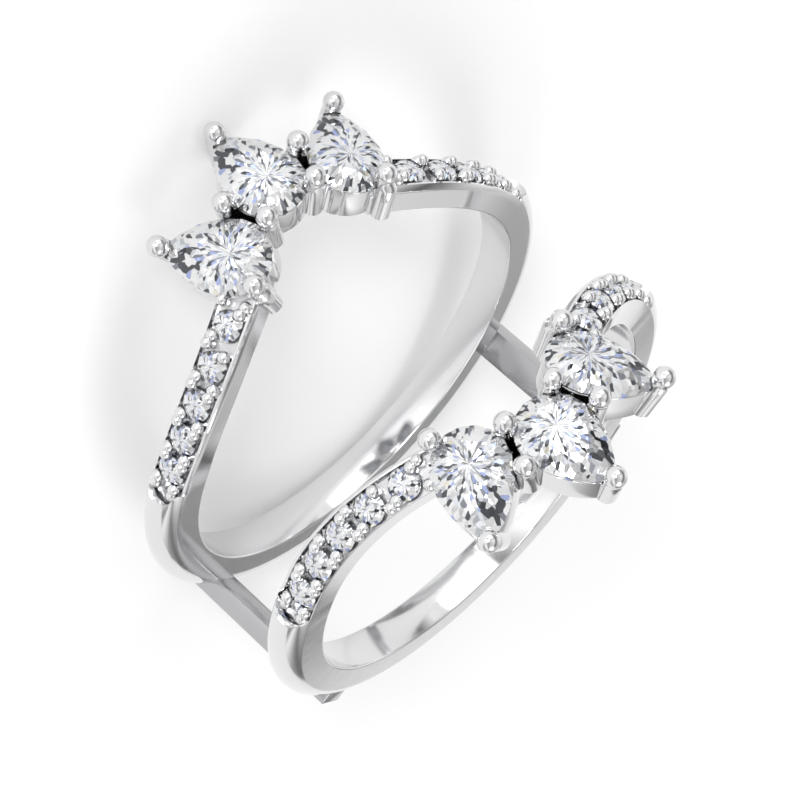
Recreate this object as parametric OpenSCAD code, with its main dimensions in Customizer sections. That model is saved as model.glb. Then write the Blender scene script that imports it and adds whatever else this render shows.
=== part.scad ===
// Ring guard enhancer: two curved bands, bridged under the finger, with a gap
// between them for an engagement ring and a fan of three pear stones on each.
// It is built in its worn frame, x across the finger, y along the finger and z
// from the shank up to the crown, and is then laid on its side, as it rests.

/* [Finger hole] */
// Inside diameter of the finger hole
finger_d = 17.3; // [15.5:0.1:20]

/* [Bands] */
// Width of each band along the finger
band_w = 1.62; // [1.62:0.02:2]
// Height of the flat sides of a band over the finger hole
side_h = 1.2; // [1.1:0.05:1.6]
// Rise of the shank's dome over its flat sides
dome_h = 0.62; // [0.3:0.02:0.7]
// Gap between the two bands for the engagement ring
gap_w = 5.2; // [4.6:0.1:6]

/* [Arms] */
// Angle from the crown at which an arm starts to sweep away from the gap
sweep_angle = 66; // [60:1:70]
// Radius of the sweep on the side that faces the gap
sweep_r = 18.2; // [16:0.1:20]
// Angle from the crown of the direction in which an arm's sides are drawn
arm_lean = 28; // [24:1:34]
// Relief of the arms and heads over the finger, past the shank's inside
arm_relief = 0.04; // [0.02:0.01:0.1]

/* [Bridge bars] */
// Width of each bar round the shank
bar_w = 1.4; // [1:0.1:2]
// Thickness of each bar
bar_t = 0.85; // [0.7:0.05:1]
// Angle of each bar from the bottom of the shank
bar_angle = 52; // [46:1:60]
// Distance of a bar's end from the outer side of the band
bar_inset = 0.15; // [0.1:0.05:0.4]

/* [Pear stones] */
// Width of a pear stone
pear_w = 3; // [2.8:0.05:3.1]
// Length of a pear stone
pear_l = 4.25; // [4:0.05:4.5]
// Height of the pears' girdles over the finger hole
girdle_h = 1.38; // [1.36:0.02:1.6]
// Angle round the finger from the middle pear to a side pear
pear_pitch = 17; // [16.5:0.1:17.5]
// Turn of a side pear about its own axis
pear_turn = 32; // [28:1:36]
// Distance of the middle pear's centre from the middle of the gap
mid_pear_y = 7.25; // [7.1:0.05:7.5]
// Distance of a side pear's centre from the middle of the gap
side_pear_y = 6; // [5.9:0.05:6.1]
// Thickness of the wall of a head under its stone
head_wall = 0.4; // [0.3:0.05:0.5]

/* [Prongs] */
// Diameter of a prong's wire
prong_d = 0.8; // [0.76:0.02:0.84]
// Diameter of the ball at a prong's tip
ball_d = 0.84; // [0.82:0.02:0.9]
// Height over the girdle of the ball's centre, on the prongs beside the pears
ball_h = 0.55; // [0.45:0.05:0.6]
// Height over the girdle of the ball's centre, on the prong at a pear's point
tip_ball_h = 0.35; // [0.3:0.05:0.45]
// Lean of the prong at a pear's point
tip_lean = 8; // [4:1:10]

/* [Round stones] */
// Diameter of a round stone
round_d = 1.25; // [1.05:0.05:1.25]
// Number of round stones on each arm
round_n = 5; // [3:1:5]
// Angle round the finger from one round stone to the next
round_pitch = 8.95; // [8.9:0.05:9.2]
// Diameter of the beads that hold the round stones
bead_d = 0.42; // [0.36:0.02:0.44]

/* [Hidden] */
// The bands, the three sides of a fan of heads, and their names
bands = [-1, 1];
sides = [-1, 0, 1];
arms = [-1, 1];
function band_name(band) = band < 0 ? "front" : "back";
function side_name(side) = side < 0 ? "left" : side > 0 ? "right" : "middle";
function pear_name(band, side) = str("pear_", band_name(band), "_", side_name(side));
function round_name(band, side, i) =
    str("round_", band_name(band), "_", side_name(side), "_", i);

// Smoothness of the true curves
$fn = 96;
// Sides of the crown and pavilion of every stone, twice as many at the girdle
mains = 8;
// Clearance between a stone and its seat
seat_gap = 0.03;
// How far a cut or a join runs past the surface that it crosses
over = 0.4;

// Proportions of a cut stone, as shares of its half width
table_share = 0.57;
mid_share = 0.8;
crown_share = 0.3;
girdle_share = 0.05;
pavilion_share = 0.86;
low_share = 0.26;

finger_r = finger_d / 2;
side_r = finger_r + side_h;
inner_y = gap_w / 2;
outer_y = inner_y + band_w;
band_y = inner_y + band_w / 2;
dome_r = (band_w * band_w / 4 + dome_h * dome_h) / (2 * dome_h);
dome_ring_r = side_r + dome_h - dome_r;
girdle_r = finger_r + girdle_h;
pear_r = pear_w / 2;
pear_tip = pear_l - pear_r;
root = girdle_h + 2 * over;
prong_r = prong_d / 2;
far = 2 * finger_d;

// The sweep of an arm, drawn in the plane across the direction of arm_lean
sweep_x = (side_r + finger_r) / 2 * sin(sweep_angle - arm_lean);
// How far the middles of the sweep's arcs lie past its joint with the shank, so
// that the arcs meet the shank at a slight angle
sweep_past = 0.3;
sweep_mid_x = sweep_x + sweep_past;
sweep_y = inner_y + sqrt(sweep_r * sweep_r - sweep_past * sweep_past);
out_sweep_r = sweep_r - band_w;
out_sweep_y = outer_y + sqrt(out_sweep_r * out_sweep_r - sweep_past * sweep_past);
// Angle from the crown at which the arms end, inside the side heads
arm_end = pear_pitch - 1;
// Shift of the row of round stones away from the gap, which leaves a rim there
round_shift = 0.08;
// Angle from the crown of the round stone nearest to the crown
round_first = 28.6;
// Distance of a bead's centre from the middle of the row of round stones
bead_off = 0.45;
// Height of a bead's centre over the surface that it stands on
bead_h = 0.04;
// The round notch that ends the dome just past the last pair of beads
notch_r = band_w / 2 - 0.06;
notch_angle = round_first + (round_n - 0.62) * round_pitch;

bar_end_y = outer_y - bar_inset;
bar_round = 0.12;

// Prongs beside the stones, as angle round the finger and place along it
shoulder_angle = 18.5;
shoulder_y = side_pear_y - 1.8;
shoulder_bend = 0.2;
shared_in_angle = 6.6;
shared_in_y = side_pear_y - 0.04;
shared_out_angle = 10.3;
shared_out_y = mid_pear_y + 0.32;

function around(v, a) = [v.x * cos(a) + v.z * sin(a), v.y, v.z * cos(a) - v.x * sin(a)];
function turned(v, a) = [v.x * cos(a) + v.y * sin(a), v.y * cos(a) - v.x * sin(a), v.z];
function head_y(side) = side == 0 ? mid_pear_y : side_pear_y;

// Rest pose: the foot of the prong at the back middle pear's point and the bottom
// of the back band's dome both touch the surface, which tilts the finger hole
foot_y = head_y(0) + pear_tip - (girdle_h - arm_relief) * tan(tip_lean) + prong_r / cos(tip_lean);
foot_r = finger_r + arm_relief;
rise = foot_y - band_y;
run = foot_r + dome_ring_r;
rest_tilt = acos(dome_r / norm([rise, run])) - atan2(run, rise);
rest_h = foot_y * cos(rest_tilt) - foot_r * sin(rest_tilt);
top_y = head_y(0) + pear_tip + tip_ball_h * sin(tip_lean);
top_z = girdle_r + tip_ball_h * cos(tip_lean);
rest_far = top_y * sin(rest_tilt) + top_z * cos(rest_tilt) + ball_d / 2;
rest_near = band_y * sin(rest_tilt) + dome_ring_r * cos(rest_tilt) + dome_r;
rest_mid = (rest_far - rest_near) / 2;

// Middle of the row of round stones at an angle from the crown, moved off by off
function row_y(a, off) =
    let (x = min(side_r * sin(a - arm_lean), sweep_x),
         row_r = sweep_r - band_w / 2 - round_shift - off)
    sweep_y - sqrt(row_r * row_r - pow(sweep_mid_x - x, 2));
function row_angle(i) = round_first + (i - 1) * round_pitch;

// Half of a pear's outline, a round end and then two arcs to the point
function side_arc_r(r, tip) = (r * r + tip * tip) / (2 * r);
function pear_point(a, r, tip) =
    let (arc_r = side_arc_r(r, tip), reach = asin(tip / arc_r),
         t = a <= 90 ? a / 90 * reach : (180 - a) / 90 * reach,
         x = r - arc_r + arc_r * cos(t))
    a >= 180 ? [r * cos(a), r * sin(a)] : [a <= 90 ? x : -x, arc_r * sin(t)];

// A brilliant cut stone: table, 8 stars, 8 kites, 16 halves, girdle and pavilion
module brilliant(r, tip, grow = 0) {
    step = 360 / mains;
    half = step / 2;
    crown = r * crown_share;
    thick = r * girdle_share;
    depth = r * pavilion_share;
    kite_h = crown * (1 - mid_share * cos(half)) / (1 - table_share);
    low_h = depth * (1 - low_share * cos(half));
    ring = [for (i = [0:mains - 1]) i];
    fine = [for (i = [0:2 * mains - 1]) i];
    function at(a, s, h) = concat(pear_point(a % 360, r + grow, tip + grow) * s, h);
    function next(i) = (i + 1) % mains;
    function step_on(i) = (i + 1) % (2 * mains);
    table = [for (i = ring) at(i * step, table_share, crown + grow)];
    mid = [for (i = ring) at(i * step + half, mid_share, kite_h + grow)];
    top = [for (i = fine) at(i * half, 1, grow)];
    base = [for (i = fine) at(i * half, 1, -thick - grow)];
    low = [for (i = ring) at(i * step + half, low_share, -thick - low_h - grow)];
    culet = [[0, 0, -thick - depth - grow]];
    m0 = mains;
    t0 = 2 * mains;
    b0 = 4 * mains;
    l0 = 6 * mains;
    c0 = 7 * mains;
    faces = concat(
        [[for (i = ring) mains - 1 - i]],
        [for (i = ring) [i, next(i), m0 + i]],
        [for (i = ring) [i, m0 + i, t0 + 2 * i]],
        [for (i = ring) [next(i), t0 + 2 * next(i), m0 + i]],
        [for (i = ring) [m0 + i, t0 + 2 * i + 1, t0 + 2 * i]],
        [for (i = ring) [m0 + i, t0 + 2 * next(i), t0 + 2 * i + 1]],
        [for (i = fine) [t0 + i, t0 + step_on(i), b0 + step_on(i)]],
        [for (i = fine) [t0 + i, b0 + step_on(i), b0 + i]],
        [for (i = ring) [l0 + i, b0 + 2 * i, b0 + 2 * i + 1]],
        [for (i = ring) [l0 + i, b0 + 2 * i + 1, b0 + 2 * next(i)]],
        [for (i = ring) [c0, b0 + 2 * i, l0 + i]],
        [for (i = ring) [c0, l0 + i, b0 + 2 * next(i)]]
    );
    polyhedron(concat(table, mid, top, base, low, culet), faces, convexity = 2);
}

// Turns what is drawn about z so that it lies about the finger's axis, y
module about_finger() rotate([-90, 0, 0]) children();

// Places children in a head's frame, with the girdle at z = 0
module at_head(side)
    rotate([0, side * pear_pitch, 0]) translate([0, head_y(side), girdle_r])
        rotate([0, 0, -side * pear_turn]) children();

// Places children on the outer surface of an arm, with z pointing out
module at_row(side, a, off = 0)
    rotate([0, side * a, 0]) translate([0, row_y(a, off), side_r]) children();

module pear_outline(inset) {
    arc_r = side_arc_r(pear_r, pear_tip);
    circle(pear_r - inset);
    intersection() {
        translate([pear_r - arc_r, 0]) circle(arc_r - inset);
        translate([arc_r - pear_r, 0]) circle(arc_r - inset);
        translate([-pear_r, 0]) square([pear_w, pear_l]);
    }
}

// The plain part of one band, up to where its arms start to sweep
module shank() {
    difference() {
        about_finger() rotate_extrude() translate([finger_r, inner_y])
            square([side_h, band_w]);
        for (side = arms) mirror([side < 0 ? 1 : 0, 0, 0]) rotate([0, arm_lean, 0])
            translate([sweep_x - far, 0, 0]) cube(far);
    }
}

module dome() {
    difference() {
        about_finger() rotate_extrude() intersection() {
            translate([dome_ring_r, band_y]) circle(dome_r);
            translate([side_r - over / 4, inner_y]) square([dome_h + over, band_w]);
        }
        for (side = arms) mirror([side < 0 ? 1 : 0, 0, 0]) {
            rotate([0, notch_angle, 0]) translate([-far, 0, 0]) cube(far);
            at_row(1, notch_angle) cylinder(h = far, r = notch_r);
        }
    }
}

module arm(side) {
    mirror([side < 0 ? 1 : 0, 0, 0]) intersection() {
        rotate([0, arm_lean, 0]) linear_extrude(far) {
            intersection() {
                difference() {
                    translate([sweep_mid_x, sweep_y]) circle(sweep_r);
                    translate([sweep_mid_x, out_sweep_y]) circle(out_sweep_r);
                }
                translate([sweep_x - far, 0]) square([far, sweep_y]);
            }
        }
        about_finger() cylinder(h = far, r = side_r);
        rotate([0, arm_end, 0]) cube(far);
    }
}

module beads(side) {
    mirror([side < 0 ? 1 : 0, 0, 0])
    for (i = [0.5:round_n + 0.5], off = [-bead_off, bead_off]) at_row(1, row_angle(i), off) {
        translate([0, 0, bead_h]) sphere(d = bead_d);
        translate([0, 0, -over]) cylinder(h = over + bead_h, d = bead_d);
    }
}

// Section of a bar, with its outer side at zero and its inner side at -bar_t
module bar_section() {
    translate([-bar_w / 2, -bar_t]) square([bar_w, bar_t - bar_round]);
    translate([-bar_w / 2 + bar_round, -bar_t]) square([bar_w - 2 * bar_round, bar_t]);
    for (x = arms) translate([x * (bar_w / 2 - bar_round), -bar_round]) circle(bar_round);
}

module bar(side) {
    rotate([0, side * bar_angle, 0]) translate([0, -bar_end_y, -side_r - bar_t])
        about_finger() linear_extrude(2 * bar_end_y) bar_section();
}

// A prong along z, with the girdle's plane at zero
module prong(h) {
    translate([0, 0, -root]) cylinder(h = root + h, d = prong_d);
    translate([0, 0, h]) sphere(d = ball_d);
}

// A prong beside the stones, which points away from the finger's axis
module side_prong(angle, y)
    rotate([0, angle, 0]) translate([0, y, girdle_r]) prong(ball_h);

// The prong at a side pear's shoulder, whose ball is bent over the stone
module shoulder_prong(angle) {
    rotate([0, angle, 0]) translate([0, shoulder_y, girdle_r]) {
        translate([0, 0, -root]) cylinder(h = root + ball_h - shoulder_bend, d = prong_d);
        translate([0, 0, ball_h - shoulder_bend]) sphere(d = prong_d * 0.98);
        translate([0, shoulder_bend, ball_h]) sphere(d = ball_d);
    }
}

// The prong at a pear's point, which leans out along the pear
module tip_prong(side) {
    off = side * pear_tip * sin(pear_turn);
    rotate([0, side * pear_pitch + atan(off / girdle_r), 0])
        translate([0, head_y(side) + pear_tip * (side == 0 ? 1 : cos(pear_turn)), norm([girdle_r, off])])
            rotate([0, 0, -side * pear_turn]) rotate([-tip_lean, 0, 0]) prong(tip_ball_h);
}

module head(side) {
    at_head(side) translate([0, 0, -root])
        linear_extrude(root - pear_r * girdle_share) pear_outline(seat_gap);
    tip_prong(side);
}

module head_cut(side) {
    at_head(side) {
        translate([0, 0, -2 * root]) linear_extrude(2 * root) pear_outline(head_wall);
        brilliant(pear_r, pear_tip, seat_gap);
    }
}

// Seat of a round stone, with its girdle's top at z = 0
module round_seat() {
    r = round_d / 2 + seat_gap;
    girdle = r * girdle_share;
    depth = r * pavilion_share + girdle + seat_gap;
    translate([0, 0, -depth]) cylinder(h = depth - girdle, r1 = 0, r2 = r);
    translate([0, 0, -girdle]) cylinder(h = over, r = r);
}

// One band with its arms, heads and prongs, at the back of the gap
module half() {
    difference() {
        union() {
            shank();
            dome();
            for (side = arms) beads(side);
            difference() {
                union() {
                    for (side = arms) {
                        arm(side);
                        shoulder_prong(side * shoulder_angle);
                        side_prong(side * shared_in_angle, shared_in_y);
                        side_prong(side * shared_out_angle, shared_out_y);
                    }
                    for (side = sides) head(side);
                }
                about_finger() cylinder(h = far, r = finger_r + arm_relief, center = true);
            }
        }
        for (side = sides) head_cut(side);
        for (side = arms) mirror([side < 0 ? 1 : 0, 0, 0])
            for (i = [1:round_n]) at_row(1, row_angle(i)) round_seat();
    }
}

// Lays the ring on its side, with the middle of its footprint at the origin
module lie()
    translate([0, -rest_mid, rest_h]) rotate([rest_tilt - 90, 0, 0]) children();

module metal() lie() color("gainsboro") {
    half();
    mirror([0, 1, 0]) half();
    for (side = arms) bar(side);
}

// A pear stone of the front (-1) or back (1) band, on the left, middle or right
module pear_stone(band, side) lie() color("aliceblue")
    mirror([0, band < 0 ? 1 : 0, 0]) at_head(side) brilliant(pear_r, pear_tip);

// Round stone number i of an arm, counted from the crown
module round_stone(band, side, i) lie() color("aliceblue")
    mirror([0, band < 0 ? 1 : 0, 0]) at_row(side, row_angle(i))
        brilliant(round_d / 2, round_d / 2);

metal();
for (band = bands, side = sides)
    pear_stone(band, side);
for (band = bands, side = arms, i = [1:round_n])
    round_stone(band, side, i);
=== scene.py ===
import bpy, bmesh
from math import sin, cos, acos, atan, pi, sqrt, radians, degrees, hypot
from mathutils import Matrix, Vector


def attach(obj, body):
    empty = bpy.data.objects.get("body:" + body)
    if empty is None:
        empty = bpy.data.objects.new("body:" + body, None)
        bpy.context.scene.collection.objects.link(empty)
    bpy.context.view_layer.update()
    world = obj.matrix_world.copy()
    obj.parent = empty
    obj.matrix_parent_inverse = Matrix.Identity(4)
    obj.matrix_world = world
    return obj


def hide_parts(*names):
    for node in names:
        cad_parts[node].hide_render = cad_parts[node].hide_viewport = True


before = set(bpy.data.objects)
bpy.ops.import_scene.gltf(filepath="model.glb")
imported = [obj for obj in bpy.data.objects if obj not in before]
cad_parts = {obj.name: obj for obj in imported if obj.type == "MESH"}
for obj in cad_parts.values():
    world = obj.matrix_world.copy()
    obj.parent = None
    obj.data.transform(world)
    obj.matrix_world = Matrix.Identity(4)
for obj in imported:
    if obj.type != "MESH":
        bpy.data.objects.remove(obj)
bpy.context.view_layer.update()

print("frame loaded")

# The ring is modelled as it is worn, in millimetres: x across the finger, y along
# it and z from the shank up to the crown. layMatrix then lays it on its side.
ring = {
    "fingerR": 8.65,
    "sideR": 9.85,         # top of a band's flat sides
    "bandW": 1.62,
    "gapW": 5.2,
    "domeH": 0.62,
    "sweepAngle": 66.0,    # the arms leave the shank here, counted from the crown
    "sweepR": 18.2,
    "sweepPast": 0.3,      # the arcs' middles lie past the joint with the shank
    "armLean": 28.0,
    "armEnd": 15.6,        # inside the side heads
    "relief": 0.04,        # of the arms and heads over the finger
    "restTilt": 17.917659121322515,
    "restMid": 1.1664126890215476,
    "restH": 7.046668029676578,
}
innerY = ring["gapW"] / 2
outerY = innerY + ring["bandW"]
sweepX = (ring["sideR"] + ring["fingerR"]) / 2 * sin(radians(ring["sweepAngle"] - ring["armLean"]))
sweepMidX = sweepX + ring["sweepPast"]
outSweepR = ring["sweepR"] - ring["bandW"]
sweepY = innerY + sqrt(ring["sweepR"] ** 2 - ring["sweepPast"] ** 2)
outSweepY = outerY + sqrt(outSweepR ** 2 - ring["sweepPast"] ** 2)
tiltSin, tiltCos = sin(radians(ring["restTilt"])), cos(radians(ring["restTilt"]))
layMatrix = Matrix((
    (0.001, 0, 0, 0),
    (0, 0.001 * tiltSin, 0.001 * tiltCos, -0.001 * ring["restMid"]),
    (0, -0.001 * tiltCos, 0.001 * tiltSin, 0.001 * ring["restH"]),
    (0, 0, 0, 1)))
mirrorX = Matrix.Diagonal((-1, 1, 1, 1))
mirrorY = Matrix.Diagonal((1, -1, 1, 1))


def turnedY(angle):
    # a turn about the finger, from the crown towards +x
    return Matrix.Rotation(radians(angle), 4, 'Y')


mergeDistance = 0.00002


def deselectAll():
    if bpy.context.object and bpy.context.object.mode != 'OBJECT':
        bpy.ops.object.mode_set(mode='OBJECT')
    bpy.ops.object.select_all(action='DESELECT')


def pick(obj, *others):
    deselectAll()
    for other in others:
        other.select_set(True)
    obj.select_set(True)
    bpy.context.view_layer.objects.active = obj


def turnOut(obj):
    # merge doubles and point every face outwards
    pick(obj)
    bpy.ops.object.mode_set(mode='EDIT')
    bpy.ops.mesh.select_all(action='SELECT')
    bpy.ops.mesh.remove_doubles(threshold=mergeDistance)
    bpy.ops.mesh.normals_make_consistent(inside=False)
    bpy.ops.object.mode_set(mode='OBJECT')


def moved(obj, matrix):
    pick(obj)
    obj.matrix_world = matrix
    bpy.ops.object.transform_apply(location=True, rotation=True, scale=True)
    if matrix.determinant() < 0:
        turnOut(obj)
    return obj


def copied(obj, matrix, name=None):
    # a copy with its own mesh
    pick(obj)
    bpy.ops.object.duplicate()
    new = bpy.context.object
    new.name = new.data.name = name or obj.name
    return moved(new, matrix)


def joined(parts, name):
    pick(parts[0], *parts[1:])
    if len(parts) > 1:
        bpy.ops.object.join()
    obj = bpy.context.object
    obj.name = obj.data.name = name
    return obj


def removed(obj):
    pick(obj)
    bpy.ops.object.delete()


def extruded(name, rings, closed=False):
    # a loop of points is drawn, then extruded from station to station
    points = [Vector(p) for p in rings[0]]
    deselectAll()
    bpy.ops.mesh.primitive_circle_add(vertices=len(points), radius=1,
                                      fill_type='NOTHING' if closed else 'NGON')
    obj = bpy.context.object
    obj.name = obj.data.name = name
    for vert, p in zip(obj.data.vertices, points):
        vert.co = p
    bpy.ops.object.mode_set(mode='EDIT')
    bpy.ops.mesh.select_mode(type='VERT')
    bpy.ops.mesh.select_all(action='SELECT')

    def keyOf(v):
        return tuple(round(c, 4) for c in v)

    for station in rings[1:]:
        bpy.ops.mesh.extrude_region_move()
        mesh = bmesh.from_edit_mesh(obj.data)
        order = {keyOf(p): i for i, p in enumerate(points)}
        for vert in [v for v in mesh.verts if v.select]:
            vert.co = Vector(station[order[keyOf(vert.co)]])
        bmesh.update_edit_mesh(obj.data)
        points = [Vector(p) for p in station]
    if closed:
        # the first loop is chosen as well, and the two are bridged
        first = {keyOf(Vector(p)) for p in rings[0]}
        mesh = bmesh.from_edit_mesh(obj.data)
        for vert in mesh.verts:
            if keyOf(vert.co) in first:
                vert.select = True
        mesh.select_flush(True)
        bmesh.update_edit_mesh(obj.data)
        bpy.ops.mesh.select_mode(type='EDGE')
        bpy.ops.mesh.bridge_edge_loops()
        bpy.ops.mesh.select_mode(type='VERT')
    bpy.ops.object.mode_set(mode='OBJECT')
    turnOut(obj)
    return obj


def smooth(obj, angle=32):
    pick(obj)
    bpy.ops.object.shade_smooth_by_angle(angle=radians(angle))


def cut(obj, cutter):
    pick(obj)
    mod = obj.modifiers.new("cut", 'BOOLEAN')
    mod.operation, mod.solver, mod.object = 'DIFFERENCE', 'EXACT', cutter
    bpy.ops.object.modifier_apply(modifier=mod.name)
    removed(cutter)


def circlePoints(r, z, count, y=0.0):
    return [(r * cos(2 * pi * i / count), y + r * sin(2 * pi * i / count), z) for i in range(count)]


# Row of round stones along each arm
row = {
    "first": 28.6,         # angle of the stone nearest to the crown
    "pitch": 8.95,
    "count": 5,
    "shift": 0.08,         # away from the gap
    "seatR": 0.655,
    "seatDepth": 0.62,
    "around": 28,          # points round a seat
}


def rowY(angle, off=0.0):
    x = min(ring["sideR"] * sin(radians(angle - ring["armLean"])), sweepX)
    rowR = ring["sweepR"] - ring["bandW"] / 2 - row["shift"] - off
    return sweepY - sqrt(rowR ** 2 - (sweepMidX - x) ** 2)


def rowMatrix(angle, off=0.0, lift=0.0):
    return turnedY(angle) @ Matrix.Translation((0, rowY(angle, off), ring["sideR"] + lift))


# Heads under the pear stones
head = {
    "stoneR": 1.5,
    "stoneTip": 2.75,      # from the middle of the round end to the point
    "girdleR": 10.03,
    "pitch": 17.0,         # angle from one head to the next
    "turn": 32.0,          # turn of a side head about its own axis
    "sideY": 6.0,
    "middleY": 7.25,
    "gap": 0.03,           # room between a stone and the metal
    "wall": 0.4,
    "steps": 20,           # points along a side of the pear's point
    "hollow": (-2.6, 1.2),               # reach of the hollow cut through the bands
    # share of the pear's outline and height, from the culet to the table
    "stoneProfile": ((0.004, -1.4), (0.26, -1.095), (1.0, -0.105),
                     (1.0, 0.03), (0.8, 0.305), (0.57, 0.48)),
}


def headMatrix(side):
    y = head["sideY"] if side else head["middleY"]
    return turnedY(side * head["pitch"]) @ Matrix.Translation((0, y, head["girdleR"])) \
        @ Matrix.Rotation(radians(-side * head["turn"]), 4, 'Z')


def pearOutline(inset):
    # round end, then an arc up to the point and one back, all moved in by inset
    r, tip, n = head["stoneR"], head["stoneTip"], head["steps"]
    arcR = (r * r + tip * tip) / (2 * r)
    reach = acos((arcR - r) / (arcR - inset))
    points = []
    for i in range(n):
        a = reach * i / n
        points.append(((arcR - inset) * cos(a) - (arcR - r), (arcR - inset) * sin(a)))
    for i in range(n, 0, -1):
        a = reach * i / n
        points.append(((arcR - r) - (arcR - inset) * cos(a), (arcR - inset) * sin(a)))
    for i in range(2 * n):
        a = pi + pi * i / (2 * n)
        points.append(((r - inset) * cos(a), (r - inset) * sin(a)))
    return points


def footOn(matrix, x, y):
    # how far down from (x, y) of a head or prong the finger's hole is
    p, d = matrix @ Vector((x, y, 0)), matrix.to_3x3() @ Vector((0, 0, 1))
    a, b = d.x ** 2 + d.z ** 2, p.x * d.x + p.z * d.z
    c = p.x ** 2 + p.z ** 2 - (ring["fingerR"] + ring["relief"]) ** 2
    return (-b + sqrt(b * b - a * c)) / a


# Bands: flat sides, a dome round the shank, a sunk bed with a rim along the arms
band = {
    "shankSteps": 120,     # stations round the shank
    "armSteps": 48,        # stations along an arm
    "boreRound": 0.06,     # rounding of the edges at the finger
    "support": 0.02,       # of the extra loop that keeps a side flat beside a rounding
    "topSupport": 0.06,
    "shoulder": 0.3,       # under the top of the side, where the widest facet ends
    "domeEdge": 0.02,
    "edgeRound": 0.03,
    "ease": 1.2,           # length of the rounding where the arms leave the shank
    "bedDrop": 0.2,        # depth of the bed under the rim
    "rimW": 0.14,          # rim on the side that faces the gap
    "outRimW": 0.03,       # rim on the other side
    "notchR": 0.75,        # round notch that ends the dome
    "notchAt": row["first"] + (row["count"] - 0.62) * row["pitch"],
    "facet": 0.24,         # width of the facet under the rim, at the head
    "topPoints": 24,
}
domeR = (ring["bandW"] ** 2 / 4 + ring["domeH"] ** 2) / (2 * ring["domeH"])


def eased(past, slope):
    # rounds off the slight angle where an arm leaves the shank
    w = band["ease"]
    return slope * ((past + w) ** 2 / (4 * w) - max(past, 0.0)) if abs(past) < w else 0.0


def armEdges(angle, r):
    # the two sides of the band along y, at an angle from the crown and a radius
    if angle >= 104:
        return innerY, outerY
    past = sweepX - r * sin(radians(angle - ring["armLean"]))
    reach = max(past, 0.0) + ring["sweepPast"]
    inner = sweepY - sqrt(ring["sweepR"] ** 2 - reach ** 2)
    outer = outSweepY - sqrt(outSweepR ** 2 - reach ** 2)
    return (inner + eased(past, ring["sweepPast"] / ring["sweepR"]),
            outer + eased(past, ring["sweepPast"] / outSweepR))


def lowSection():
    # bore and lower sides: radius, side that the offset starts from, offset
    f, lo, hi = band["boreRound"], ring["fingerR"], ring["sideR"]
    supportR, shoulderR = lo + f + band["support"], hi - band["shoulder"]
    points = [(shoulderR, 'in', 0.0), (supportR, 'in', 0.0)]
    for k in range(5):
        t = radians(22.5 * k)
        points.append((lo + f - f * sin(t), 'in', f - f * cos(t)))
    for k in range(5):
        t = radians(22.5 * k)
        points.append((lo + f - f * cos(t), 'out', f - f * sin(t)))
    for r in (supportR, shoulderR, hi - band["topSupport"]):
        points.append((r, 'out', 0.0))
    return points


def domeSection():
    # from the outer side over the dome to the inner side
    hi, e, half = ring["sideR"], band["domeEdge"], ring["bandW"] / 2
    points = [(hi - 2 * e, 'out', 0.0), (hi - 0.3 * e, 'out', 0.3 * e)]
    first = acos((half - e * 1.5 - row["shift"]) / band["notchR"])
    steps = band["topPoints"] - 7
    offs = [row["shift"] + band["notchR"] * cos(first + (pi - first) * k / steps)
            for k in range(steps + 1)]
    offs += [-half + 0.09, -half + 0.05, -half + e * 1.5]
    for off in offs:
        points.append((hi + ring["domeH"] - domeR + sqrt(domeR ** 2 - off ** 2), 'mid', off))
    points += [(hi - 0.3 * e, 'in', 0.3 * e), (hi - 2 * e, 'in', 0.0)]
    return points


def flatSection(grow=0.0):
    # rim, sunk bed and rim, with a facet of width grow under the rim at the gap
    hi, e, drop = ring["sideR"], band["edgeRound"], band["bedDrop"]
    rim, outRim = band["rimW"], band["outRimW"]
    points = [(hi - e, 'out', 0.0), (hi - 0.2 * e, 'out', 0.2 * e), (hi, 'out', outRim),
              (hi - drop, 'out', outRim + 0.03)]
    shares = band["topPoints"] + 1 - 11
    for k in range(shares):
        points.append((hi - drop, 'share', 0.12 + 0.62 * k / (shares - 1)))
    points += [(hi - drop, 'in', rim + grow * 0.5 + 0.06), (hi - 0.02, 'in', rim + grow * 0.5),
               (hi, 'in', rim + grow * 0.5 - 0.02), (hi, 'in', 0.035 + grow * 0.5),
               (hi - 0.012 - 0.05 * grow, 'in', 0.012 + grow * 0.5),
               (hi - 0.03 - 0.95 * grow, 'in', 0.008), (hi - 0.045 - grow, 'in', 0.0)]
    return points


def bandRing(angle, section, shift=None, lift=1.0):
    # section points at an angle from the crown on the +x side
    points = []
    for r, kind, value in section:
        inner, outer = armEdges(angle, r)
        if kind == 'in':
            y = inner + value
        elif kind == 'out':
            y = outer - value
        elif kind == 'share':
            y = outer + (inner - outer) * value
        else:
            y = (inner + outer) / 2 + value
        a = angle + (shift(y, r) if shift else 0.0)
        if r > ring["sideR"]:
            r = ring["sideR"] + (r - ring["sideR"]) * lift
        elif r < ring["fingerR"] + 0.2:
            r += ring["relief"] * min(max((ring["sweepAngle"] - angle) / 8, 0.0), 1.0)
        points.append((r * sin(radians(a)), y, r * cos(radians(a))))
    return points


def notchShift(share):
    middle = rowY(band["notchAt"])

    def shift(y, r):
        if r < ring["sideR"] - band["bedDrop"] - 0.01:
            return 0.02 * share
        reach = sqrt(max(band["notchR"] ** 2 - (y - middle) ** 2, 0.0))
        return degrees(reach / r) * share + 0.02 * share
    return shift


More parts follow.
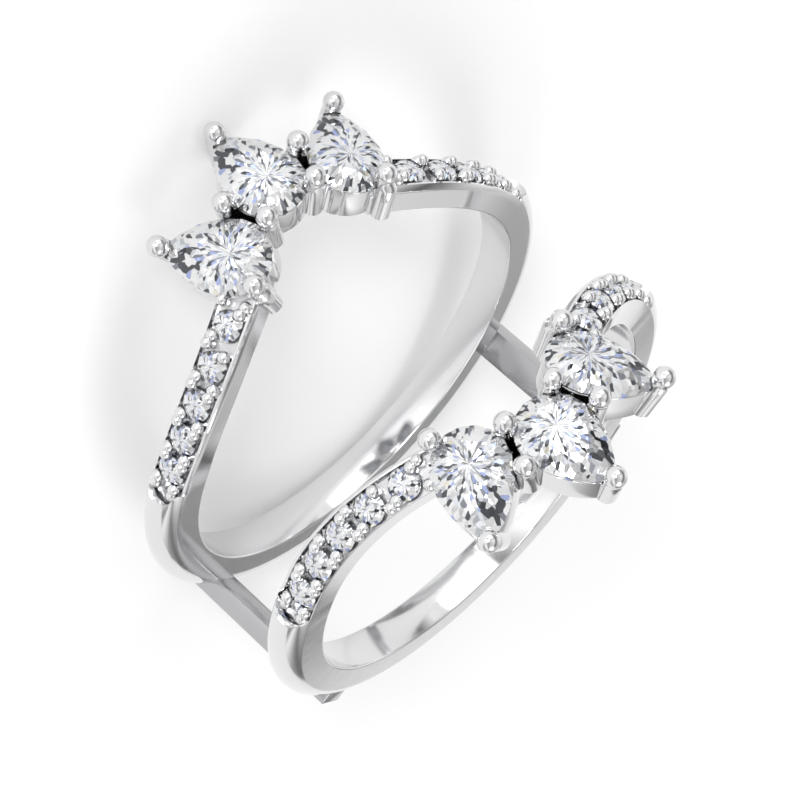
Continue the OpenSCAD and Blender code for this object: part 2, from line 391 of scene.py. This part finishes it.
def buildBand():
    low = lowSection()
    dome, flat = low + domeSection(), low + flatSection()
    notchAt, n = band["notchAt"], band["armSteps"]
    arm = []
    for i in range(n + 1):
        a = ring["armEnd"] + (notchAt - ring["armEnd"]) * i / n
        near = min(max((58.0 - a) / 26.0, 0.0), 1.0)
        arm.append(bandRing(a, low + flatSection(band["facet"] * near)))
    for share in (0.5, 0.9, 1.0):
        arm.append(bandRing(notchAt, flat, notchShift(share)))
    arm.append(bandRing(notchAt, dome, notchShift(1.003), 0.0))
    arm.append(bandRing(notchAt, dome, notchShift(1.01), 0.93))
    arm.append(bandRing(notchAt, dome, notchShift(1.03), 0.985))
    arm.append(bandRing(notchAt, dome, notchShift(1.07), 1.0))
    first = notchAt + degrees(band["notchR"] / ring["sideR"]) + 0.8
    for share in (0.3, 0.65):
        shift = notchShift(1.07)
        arm.append(bandRing(notchAt, dome,
                            lambda y, r: shift(y, r) * (1 - share) + (first - notchAt) * share))
    half = []
    for i in range(band["shankSteps"] // 2):
        half.append(bandRing(first + (180 - first) * 2 * i / band["shankSteps"], dome))
    plus = arm + half
    minus = [[(-x, y, z) for x, y, z in points] for points in plus]
    bottom = bandRing(180, dome)
    return extruded("bandBack", plus + [bottom] + minus[::-1])


def roundSeat():
    r, depth, n = row["seatR"], row["seatDepth"], row["around"]
    return extruded("roundSeat", [circlePoints(0.03, -depth, n), circlePoints(r, -0.045, n),
                                  circlePoints(r, 0.3, n)])


def headHollow(side, inset):
    outline = pearOutline(inset)
    hollow = extruded("hollow", [[(x, y, z) for x, y in outline] for z in head["hollow"]])
    return moved(hollow, headMatrix(side))


def buildCutters():
    seat = roundSeat()
    cutters = []
    for side in (-1, 1):
        half = Matrix.Identity(4) if side > 0 else mirrorX
        for i in range(row["count"]):
            cutters.append(copied(seat, half @ rowMatrix(row["first"] + i * row["pitch"])))
        cutters.append(headHollow(side, head["gap"] + head["wall"] / 2))
    removed(seat)
    return joined(cutters, "seatCutters")


bandBack = buildBand()
cut(bandBack, buildCutters())
smooth(bandBack, 30)
print("band built,", len(bandBack.data.polygons), "faces")

# Head walls: (inset, height over the girdle); None is the foot at the finger's hole
wall = {
    "profile": ((0.06, None, 0.0), (0.035, None, 0.025), (0.03, None, 0.06), (0.03, -0.85, 0),
                (0.03, -0.2, 0), (0.034, -0.165, 0), (0.055, -0.158, 0), (0.085, -0.19, 0),
                (0.39, -0.45, 0), (0.43, -0.5, 0), (0.43, -0.85, 0), (0.43, None, 0.04),
                (0.40, None, 0.0)),
}


def buildHead(side):
    matrix = headMatrix(side)
    stations = []
    for inset, z, lift in wall["profile"]:
        stations.append([(x, y, footOn(matrix, x, y) + lift if z is None else z)
                         for x, y in pearOutline(inset)])
    return moved(extruded("head", stations, closed=True), matrix)


headsBack = joined([buildHead(side) for side in (-1, 0, 1)], "headsBack")
smooth(headsBack, 35)
print("heads built")

# Prongs: a drawn wire with a ball at its tip
prong = {
    "wireR": 0.395,
    "neckR": 0.365,
    "ballR": 0.42,
    "ballH": 0.55,         # ball's middle over the girdle
    "tipBallH": 0.35,
    "tipLean": 8.0,
    "shoulder": (18.5, 4.2, 0.2),      # angle, place along the finger, bend
    "sharedIn": (6.6, 5.96),
    "sharedOut": (10.3, 7.57),
    "around": 28,
}


def buildProng(matrix, ballH, bend=0.0):
    n, wire, neck, ball = prong["around"], prong["wireR"], prong["neckR"], prong["ballR"]
    stations = []
    for r, lift in ((wire - 0.03, 0.0), (wire, 0.03), (wire, 0.1)):
        stations.append([(x, y, footOn(matrix, x, y) + lift) for x, y, z in circlePoints(r, 0, n)])
    low = ballH - ball
    for r, z, share in ((wire, -0.5, 0), (wire, low - 0.08, 0.0), (wire - 0.01, low + 0.03, 0.2),
                        (neck, low + 0.12, 0.62)):
        stations.append(circlePoints(r, z, n, bend * share))
    start = -acos((neck + 0.012) / ball)
    for k in range(13):
        a = start + (pi / 2 - 0.03 - start) * k / 12
        stations.append(circlePoints(ball * cos(a), ballH + ball * sin(a), n, bend))
    return moved(extruded("prong", stations), matrix)


def atAngle(angle, y):
    return turnedY(angle) @ Matrix.Translation((0, y, head["girdleR"]))


def tipMatrix(side):
    turn = radians(head["turn"]) if side else 0.0
    off = side * head["stoneTip"] * sin(turn)
    y = (head["sideY"] if side else head["middleY"]) + head["stoneTip"] * cos(turn)
    return turnedY(side * head["pitch"] + degrees(atan(off / head["girdleR"]))) \
        @ Matrix.Translation((0, y, hypot(head["girdleR"], off))) \
        @ Matrix.Rotation(-side * turn, 4, 'Z') @ Matrix.Rotation(radians(-prong["tipLean"]), 4, 'X')


def pearStoneCutter(side):
    # the pear stone, a little larger, so that the prongs keep clear of it
    grow = 1 + head["gap"] / head["stoneR"]
    outline = pearOutline(0)
    stations = []
    for share, z in head["stoneProfile"]:
        stations.append([(x * share * grow, y * share * grow, z) for x, y in outline])
    return moved(extruded("stoneCutter", stations), headMatrix(side))


prongs = []
for side in (-1, 1):
    angle, y, bend = prong["shoulder"]
    prongs.append(buildProng(atAngle(side * angle, y), prong["ballH"], bend))
    for angle, y in (prong["sharedIn"], prong["sharedOut"]):
        prongs.append(buildProng(atAngle(side * angle, y), prong["ballH"]))
for side in (-1, 0, 1):
    prongs.append(buildProng(tipMatrix(side), prong["tipBallH"]))
for piece in prongs:
    cut(piece, joined([pearStoneCutter(side) for side in (-1, 0, 1)], "stoneCutters"))
prongsBack = joined(prongs, "prongsBack")
smooth(prongsBack, 40)
print("prongs built")

# Small split claws in the corners between the round stones
claw = {
    "ballR": 0.25,
    "apart": 0.17,         # of each half from the middle of the claw, along the row
    "off": 0.43,           # from the middle of the row
    "top": 0.07,           # ball's middle over the band's side
    "root": -0.35,
    "stoneProfile": ((0.01, -0.63), (0.645, -0.05), (0.645, 0.02), (0.52, 0.135), (0.375, 0.215)),
}


def buildClaw():
    r, top, n = claw["ballR"], claw["top"], 16
    stations = [circlePoints(r * 0.85, claw["root"], n), circlePoints(r * 0.9, top - 0.12, n)]
    for k in range(8):
        a = -0.35 + (pi / 2 + 0.32) * k / 7
        stations.append(circlePoints(r * cos(a), top + 1.1 * r * sin(a), n))
    return extruded("claw", stations)


def roundStoneCutter():
    # a round stone, a little larger, so that the claws keep clear of it
    stations = [circlePoints(r, z, row["around"]) for r, z in claw["stoneProfile"]]
    return extruded("roundCutter", stations)


clawPattern, stonePattern = buildClaw(), roundStoneCutter()
claws, cutters = [], []
for side in (-1, 1):
    half = Matrix.Identity(4) if side > 0 else mirrorX
    for i in range(row["count"] + 1):
        angle = row["first"] + (i - 0.5) * row["pitch"]
        for off in (-claw["off"], claw["off"]):
            for share in (-1, 1):
                claws.append(copied(clawPattern, half @ rowMatrix(angle, off)
                                    @ Matrix.Translation((share * claw["apart"], 0, 0))))
    for i in range(row["count"]):
        cutters.append(copied(stonePattern, half @ rowMatrix(row["first"] + i * row["pitch"])))
removed(clawPattern)
removed(stonePattern)
clawsBack = joined(claws, "clawsBack")
cut(clawsBack, joined(cutters, "roundCutters"))
smooth(clawsBack, 40)
print("claws built")

# Bars that bridge the two bands under the finger
bar = {
    "angle": 52.0,         # from the bottom of the shank
    "w": 1.4,
    "t": 0.85,
    "endY": 4.07,
    "round": 0.1,
    "bevel": 0.025,
    "endInset": 0.03,
}


def buildBar(side):
    w, t, end, f = bar["w"] / 2, bar["t"], bar["endY"], bar["round"]
    outline = [(-w, t), (w, t), (w, f), (w - 0.3 * f, 0.3 * f), (w - f, 0),
               (-w + f, 0), (-w + 0.3 * f, 0.3 * f), (-w, f)]
    stations = []
    slip = bar["endInset"]
    for y, inset in ((-end, slip), (-end + slip, 0.0), (end - slip, 0.0), (end, slip)):
        stations.append([(x * (1 - inset / w), y, z - ring["sideR"] - t + (inset if z < 0.01 else 0))
                         for x, z in outline])
    newBar = extruded("bar", stations)
    pick(newBar)
    bevel = newBar.modifiers.new("edgeRound", 'BEVEL')
    bevel.width, bevel.segments = bar["bevel"], 2
    bevel.limit_method, bevel.angle_limit = 'ANGLE', radians(40)
    bpy.ops.object.modifier_apply(modifier=bevel.name)
    return moved(newBar, turnedY(side * bar["angle"]))


bars = joined([buildBar(-1), buildBar(1)], "bars")
smooth(bars, 35)
print("bars built")

# White gold with faint polishing marks and a slightly uneven tone. A finish is
# a light tone, a dark tone, and the least and most roughness. The bars and the
# sunk bed are rougher, and their tones are darker, which is painted shade.
goldLook = {
    "polished": ((0.76, 0.76, 0.765, 1), (0.7, 0.7, 0.71, 1), 0.07, 0.13),
    # darker tones on the bars: painted shade, with a rougher finish
    "barSatinAndShade": ((0.5, 0.5, 0.51, 1), (0.42, 0.42, 0.43, 1), 0.12, 0.24),
    # darker tones in the sunk bed: painted shade in the recess, with a rougher finish
    "bedMattAndShade": ((0.66, 0.66, 0.67, 1), (0.56, 0.56, 0.57, 1), 0.2, 0.34),
    "toneScale": 260.0,
    "polishScale": 2600.0,
    "bump": 0.003,
    "bumpDepth": 0.0002,
}


def link(tree, start, startSocket, end, endSocket):
    tree.links.new(start.outputs[startSocket], end.inputs[endSocket])


def buildGold(name, light, dark, lowRough, highRough):
    mat = bpy.data.materials.new(name)
    mat.use_nodes = True
    tree = mat.node_tree
    shader = tree.nodes["Principled BSDF"]
    shader.inputs["Metallic"].default_value = 1.0
    place = tree.nodes.new('ShaderNodeTexCoord')
    tone = tree.nodes.new('ShaderNodeTexNoise')
    tone.inputs["Scale"].default_value = goldLook["toneScale"]
    tone.inputs["Detail"].default_value = 3.0
    link(tree, place, "Object", tone, "Vector")
    colour = tree.nodes.new('ShaderNodeMix')
    colour.data_type = 'RGBA'
    colour.inputs["A"].default_value = light
    colour.inputs["B"].default_value = dark
    tree.links.new(tone.outputs["Fac"], colour.inputs["Factor"])
    tree.links.new(colour.outputs[2], shader.inputs["Base Color"])
    polish = tree.nodes.new('ShaderNodeTexNoise')
    polish.inputs["Scale"].default_value = goldLook["polishScale"]
    polish.inputs["Detail"].default_value = 4.0
    link(tree, place, "Object", polish, "Vector")
    rough = tree.nodes.new('ShaderNodeMapRange')
    rough.inputs["To Min"].default_value, rough.inputs["To Max"].default_value = lowRough, highRough
    link(tree, polish, "Fac", rough, "Value")
    link(tree, rough, "Result", shader, "Roughness")
    bump = tree.nodes.new('ShaderNodeBump')
    bump.inputs["Strength"].default_value = goldLook["bump"]
    bump.inputs["Distance"].default_value = goldLook["bumpDepth"]
    link(tree, polish, "Fac", bump, "Height")
    link(tree, bump, "Normal", shader, "Normal")
    return mat


whiteGold = buildGold("polishedWhiteGold", *goldLook["polished"])
barShadedGold = buildGold("satinWhiteGoldWithPaintedShade", *goldLook["barSatinAndShade"])
bedShadedGold = buildGold("mattWhiteGoldWithPaintedShade", *goldLook["bedMattAndShade"])
bandFront = copied(bandBack, mirrorY, "bandFront")
headsFront = copied(headsBack, mirrorY, "headsFront")
prongsFront = copied(prongsBack, mirrorY, "prongsFront")
clawsFront = copied(clawsBack, mirrorY, "clawsFront")


def shadedBedFaces(piece):
    # faces of the sunk bed and of the round seats under it, which get a darker gold as painted shade
    floorR = ring["sideR"] - band["bedDrop"] + 0.01
    found = []
    for face in piece.data.polygons:
        spots = [piece.data.vertices[i].co for i in face.vertices]
        reaches = [hypot(spot.x, spot.z) for spot in spots]
        out = Vector((face.center.x, 0, face.center.z)).normalized().dot(face.normal)
        if max(reaches) < floorR and min(reaches) > ring["sideR"] - 0.7 and out > 0.3:
            found.append(face.index)
    return found


for piece in (bandBack, bandFront, headsBack, headsFront, prongsBack, prongsFront,
              clawsBack, clawsFront, bars):
    shadedBeds = shadedBedFaces(piece) if piece in (bandBack, bandFront) else []
    moved(piece, layMatrix)
    piece.data.materials.clear()
    # the bars get the darker gold, which paints their shade
    piece.data.materials.append(barShadedGold if piece == bars else whiteGold)
    # the sunk bed's faces get the darker gold, painted shade in the recess
    if shadedBeds:
        piece.data.materials.append(bedShadedGold)
        for i in shadedBeds:
            piece.data.polygons[i].material_index = 1
    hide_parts("metal")
    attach(piece, "root")
print("metal laid down")

# Stones: clear, broken up into shards that run out from the middle of each stone.
# The shards' light, grey and dark colours and the blue or warm flash here and there are painted
# reflections and painted fire in the base colour.
stoneLook = {
    # painted reflections: near black, grey and white shards, with blue and warm painted fire
    "stops": ((0.0, (0.03, 0.035, 0.045, 1)), (0.13, (0.24, 0.26, 0.3, 1)), (0.22, (0.42, 0.5, 0.84, 1)),
              (0.28, (0.62, 0.65, 0.7, 1)), (0.38, (0.92, 0.95, 1.0, 1)), (0.48, (1, 1, 1, 1)),
              (0.95, (0.95, 0.9, 0.74, 1)), (0.975, (1, 1, 1, 1))),
    "ior": 2.4,
    "clear": 0.68,         # share of the rest that passes through
    "mirror": 0.5,         # share of light that a shard throws back at once
    "tilt": 0.36,          # how far each shard leans away from its facet
    "pear": (54, 4.4),     # shards round the stone, and shards along a millimetre
    "round": (26, 7.0),
}


def buildStoneLook(name, matrix, around, along):
    mat = bpy.data.materials.new(name)
    mat.use_nodes = True
    tree = mat.node_tree
    shader = tree.nodes["Principled BSDF"]
    shader.inputs["Transmission Weight"].default_value = stoneLook["clear"]
    shader.inputs["IOR"].default_value = stoneLook["ior"]
    shader.inputs["Metallic"].default_value = stoneLook["mirror"]
    shader.inputs["Roughness"].default_value = 0.0

    # the stone's own frame, in millimetres from its middle
    place = tree.nodes.new('ShaderNodeTexCoord')
    own = tree.nodes.new('ShaderNodeMapping')
    turn = matrix.to_3x3().normalized().transposed()
    own.inputs["Scale"].default_value = (1000, 1000, 1000)
    own.inputs["Rotation"].default_value = turn.to_euler('XYZ')
    own.inputs["Location"].default_value = -(turn @ (matrix.translation * 1000))
    link(tree, place, "Object", own, "Vector")
    split = tree.nodes.new('ShaderNodeSeparateXYZ')
    link(tree, own, "Vector", split, "Vector")
    bearing = tree.nodes.new('ShaderNodeMath')
    bearing.operation = 'ARCTAN2'
    link(tree, split, "Y", bearing, 0)
    link(tree, split, "X", bearing, 1)
    sector = tree.nodes.new('ShaderNodeMath')
    sector.operation = 'MULTIPLY'
    sector.inputs[1].default_value = around / (2 * pi)
    link(tree, bearing, "Value", sector, 0)
    flat = tree.nodes.new('ShaderNodeCombineXYZ')
    link(tree, split, "X", flat, "X")
    link(tree, split, "Y", flat, "Y")
    out = tree.nodes.new('ShaderNodeVectorMath')
    out.operation = 'LENGTH'
    link(tree, flat, "Vector", out, 0)
    reach = tree.nodes.new('ShaderNodeMath')
    reach.operation = 'MULTIPLY'
    reach.inputs[1].default_value = along
    link(tree, out, "Value", reach, 0)
    grid = tree.nodes.new('ShaderNodeCombineXYZ')
    link(tree, sector, "Value", grid, "X")
    link(tree, reach, "Value", grid, "Y")
    shards = tree.nodes.new('ShaderNodeTexVoronoi')
    shards.inputs["Scale"].default_value = 1.0
    link(tree, grid, "Vector", shards, "Vector")
    # the shard colours below are painted reflections and fire, one per shard
    ramp = tree.nodes.new('ShaderNodeValToRGB')
    ramp.color_ramp.interpolation = 'CONSTANT'
    stops = stoneLook["stops"]
    ramp.color_ramp.elements[0].position, ramp.color_ramp.elements[0].color = stops[0]
    ramp.color_ramp.elements[1].position, ramp.color_ramp.elements[1].color = stops[-1]
    for position, colour in stops[1:-1]:
        ramp.color_ramp.elements.new(position).color = colour
    pickOne = tree.nodes.new('ShaderNodeSeparateColor')
    link(tree, shards, "Color", pickOne, "Color")
    link(tree, pickOne, "Red", ramp, "Fac")
    link(tree, ramp, "Color", shader, "Base Color")

    # each shard leans its own way
    facet = tree.nodes.new('ShaderNodeNewGeometry')
    centre = tree.nodes.new('ShaderNodeVectorMath')
    centre.operation = 'SUBTRACT'
    centre.inputs[1].default_value = (0.5, 0.5, 0.5)
    link(tree, shards, "Color", centre, 0)
    lean = tree.nodes.new('ShaderNodeVectorMath')
    lean.operation = 'SCALE'
    lean.inputs["Scale"].default_value = stoneLook["tilt"]
    link(tree, centre, "Vector", lean, 0)
    total = tree.nodes.new('ShaderNodeVectorMath')
    link(tree, facet, "Normal", total, 0)
    link(tree, lean, "Vector", total, 1)
    unit = tree.nodes.new('ShaderNodeVectorMath')
    unit.operation = 'NORMALIZE'
    link(tree, total, "Vector", unit, 0)
    link(tree, unit, "Vector", shader, "Normal")
    return mat


def dressStone(name, matrix, kind):
    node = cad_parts[name]
    node.data.materials.clear()
    look = buildStoneLook("clear_" + name, layMatrix @ matrix, *stoneLook[kind])
    node.data.materials.append(look)


halfTurn = Matrix.Rotation(pi, 4, 'Z')
for bandName, half in (("front", halfTurn), ("back", Matrix.Identity(4))):
    for sideName, side in (("left", -1), ("middle", 0), ("right", 1)):
        own = side if bandName == "back" else -side
        dressStone("pear_%s_%s" % (bandName, sideName), half @ headMatrix(own), "pear")
        if side:
            for i in range(row["count"]):
                spot = rowMatrix(row["first"] + i * row["pitch"])
                if own < 0:
                    spot = mirrorX @ spot @ mirrorX
                dressStone("round_%s_%s_%d" % (bandName, sideName, i + 1), half @ spot, "round")
print("stones finished")

# Camera, at the photograph's angle
shot = {
    "place": (-31.0968, -30.4307, 84.6576),
    "right": (0.70523421, -0.7089732, 0.00130792),
    "up": (0.62589084, 0.62345445, 0.46857786),
    "back": (-0.33302458, -0.32963852, 0.88342124),
    "lens": 108.69,
}
bpy.ops.object.camera_add()
camera = bpy.context.object
camera.data.sensor_width = 36
camera.data.lens = shot["lens"]
camera.data.clip_start = 0.001
turn = layMatrix.to_3x3() * 1000
camMatrix = Matrix.Identity(4)
for column, key in enumerate(("right", "up", "back")):
    axis = turn @ Vector(shot[key])
    for line in range(3):
        camMatrix[line][column] = axis[line]
camMatrix.translation = layMatrix @ Vector(shot["place"])
camera.matrix_world = camMatrix
bpy.context.scene.camera = camera

# Floor and soft light
studio = {
    "floorSize": 1.6,
    "floor": ((0.93, 0.93, 0.93, 1), (0.96, 0.96, 0.96, 1)),
    "floorRough": 0.7,
    "floorShine": 0.2,
    "grainScale": 40.0,
}
deselectAll()
bpy.ops.mesh.primitive_plane_add(size=studio["floorSize"], location=(0, 0, 0))
floor = bpy.context.object
floor.name = "floor"
paper = bpy.data.materials.new("palePaper")
paper.use_nodes = True
tree = paper.node_tree
shader = tree.nodes["Principled BSDF"]
shader.inputs["Roughness"].default_value = studio["floorRough"]
shader.inputs["Specular IOR Level"].default_value = studio["floorShine"]
place = tree.nodes.new('ShaderNodeTexCoord')
grain = tree.nodes.new('ShaderNodeTexNoise')
grain.inputs["Scale"].default_value = studio["grainScale"]
link(tree, place, "Object", grain, "Vector")
tint = tree.nodes.new('ShaderNodeMix')
tint.data_type = 'RGBA'
tint.inputs["A"].default_value, tint.inputs["B"].default_value = studio["floor"]
tree.links.new(grain.outputs["Fac"], tint.inputs["Factor"])
tree.links.new(tint.outputs[2], shader.inputs["Base Color"])
floor.data.materials.append(paper)

# Tall soft boxes with darker gaps between them stand round the ring, so that its
# polished sides show upright bright and dark bands
boxes = {
    "axis": (0.626, 0.638, -0.449),      # the way the boxes stand, in the floor's frame
    "start": (0.705, -0.217, 0.675),     # where the first one is counted from
    "round": ((0.0, 0.85), (0.06, 0.3), (0.1, 0.8), (0.18, 1.5), (0.23, 0.45), (0.3, 0.8),
              (0.4, 1.1), (0.46, 0.15), (0.52, 0.8), (0.62, 1.5), (0.69, 0.3), (0.76, 0.8),
              (0.84, 1.2), (0.9, 0.3), (0.95, 0.8), (1.0, 0.85)),
    "height": ((0.0, 1.0), (0.3, 0.8), (0.45, 1.0), (0.6, 1.1), (0.75, 0.75), (1.0, 1.1)),
    "strength": 1.5,
    "dim": (0.333, -0.942, 0.04),        # the bands' flat sides reflect this way
    "dimLevel": 0.62,
    "dimFrom": (0.55, 0.98),             # nearness to that way where the dimming starts and ends
}


def addRamp(tree, stops):
    ramp = tree.nodes.new('ShaderNodeValToRGB')
    share = 1 / boxes["strength"]
    for spare, (position, level) in zip(ramp.color_ramp.elements, (stops[0], stops[-1])):
        spare.position, spare.color = position, (level * share,) * 3 + (1,)
    for position, level in stops[1:-1]:
        ramp.color_ramp.elements.new(position).color = (level * share,) * 3 + (1,)
    return ramp


world = bpy.data.worlds.new("studio")
bpy.context.scene.world = world
world.use_nodes = True
tree = world.node_tree
backdrop = tree.nodes["Background"]
place = tree.nodes.new('ShaderNodeTexCoord')
standing = Vector(boxes["axis"]).normalized()
front = (Vector(boxes["start"]) - standing * standing.dot(Vector(boxes["start"]))).normalized()
sideways = standing.cross(front)
parts = []
for axis in (front, sideways, standing):
    dot = tree.nodes.new('ShaderNodeVectorMath')
    dot.operation = 'DOT_PRODUCT'
    dot.inputs[1].default_value = axis
    link(tree, place, "Generated", dot, 0)
    parts.append(dot)
bearing = tree.nodes.new('ShaderNodeMath')
bearing.operation = 'ARCTAN2'
link(tree, parts[1], "Value", bearing, 0)
link(tree, parts[0], "Value", bearing, 1)
turnShare = tree.nodes.new('ShaderNodeMapRange')
turnShare.inputs["From Min"].default_value, turnShare.inputs["From Max"].default_value = -pi, pi
link(tree, bearing, "Value", turnShare, "Value")
heightShare = tree.nodes.new('ShaderNodeMapRange')
heightShare.inputs["From Min"].default_value = -1.0
link(tree, parts[2], "Value", heightShare, "Value")
roundRamp, heightRamp = addRamp(tree, boxes["round"]), addRamp(tree, boxes["height"])
link(tree, turnShare, "Result", roundRamp, "Fac")
link(tree, heightShare, "Result", heightRamp, "Fac")
both = tree.nodes.new('ShaderNodeVectorMath')
both.operation = 'MULTIPLY'
link(tree, roundRamp, "Color", both, 0)
link(tree, heightRamp, "Color", both, 1)
dim = tree.nodes.new('ShaderNodeVectorMath')
dim.operation = 'DOT_PRODUCT'
dim.inputs[1].default_value = Vector(boxes["dim"]).normalized()
link(tree, place, "Generated", dim, 0)
dimShare = tree.nodes.new('ShaderNodeMapRange')
dimShare.interpolation_type = 'SMOOTHSTEP'
nearFrom, nearTo = boxes["dimFrom"]
for socket, value in (("From Min", nearFrom), ("From Max", nearTo),
                      ("To Min", 1.0), ("To Max", boxes["dimLevel"])):
    dimShare.inputs[socket].default_value = value
link(tree, dim, "Value", dimShare, "Value")
dimmed = tree.nodes.new('ShaderNodeVectorMath')
dimmed.operation = 'SCALE'
link(tree, both, "Vector", dimmed, 0)
link(tree, dimShare, "Result", dimmed, "Scale")
link(tree, dimmed, "Vector", backdrop, "Color")
backdrop.inputs["Strength"].default_value = boxes["strength"] ** 2

# name, place, size and power of each lamp, which all point at the ring
lamps = (
    ("keyLamp", (-0.17, 0.47, 0.25), 0.16, 1.3),
    ("fillLamp", (-0.2, -0.3, 0.5), 0.3, 0.9),
    ("frontLamp", (0.22, 0.62, 0.16), 0.45, 1.2),
)
for name, spot, size, power in lamps:
    bpy.ops.object.light_add(type='AREA', location=spot)
    lamp = bpy.context.object
    lamp.name = name
    lamp.data.size = size
    lamp.data.energy = power
    aim = Vector((0, 0, 0.01)) - Vector(spot)
    lamp.rotation_euler = aim.to_track_quat('-Z', 'Y').to_euler()
bpy.context.scene.view_settings.view_transform = 'Standard'
print("studio set")
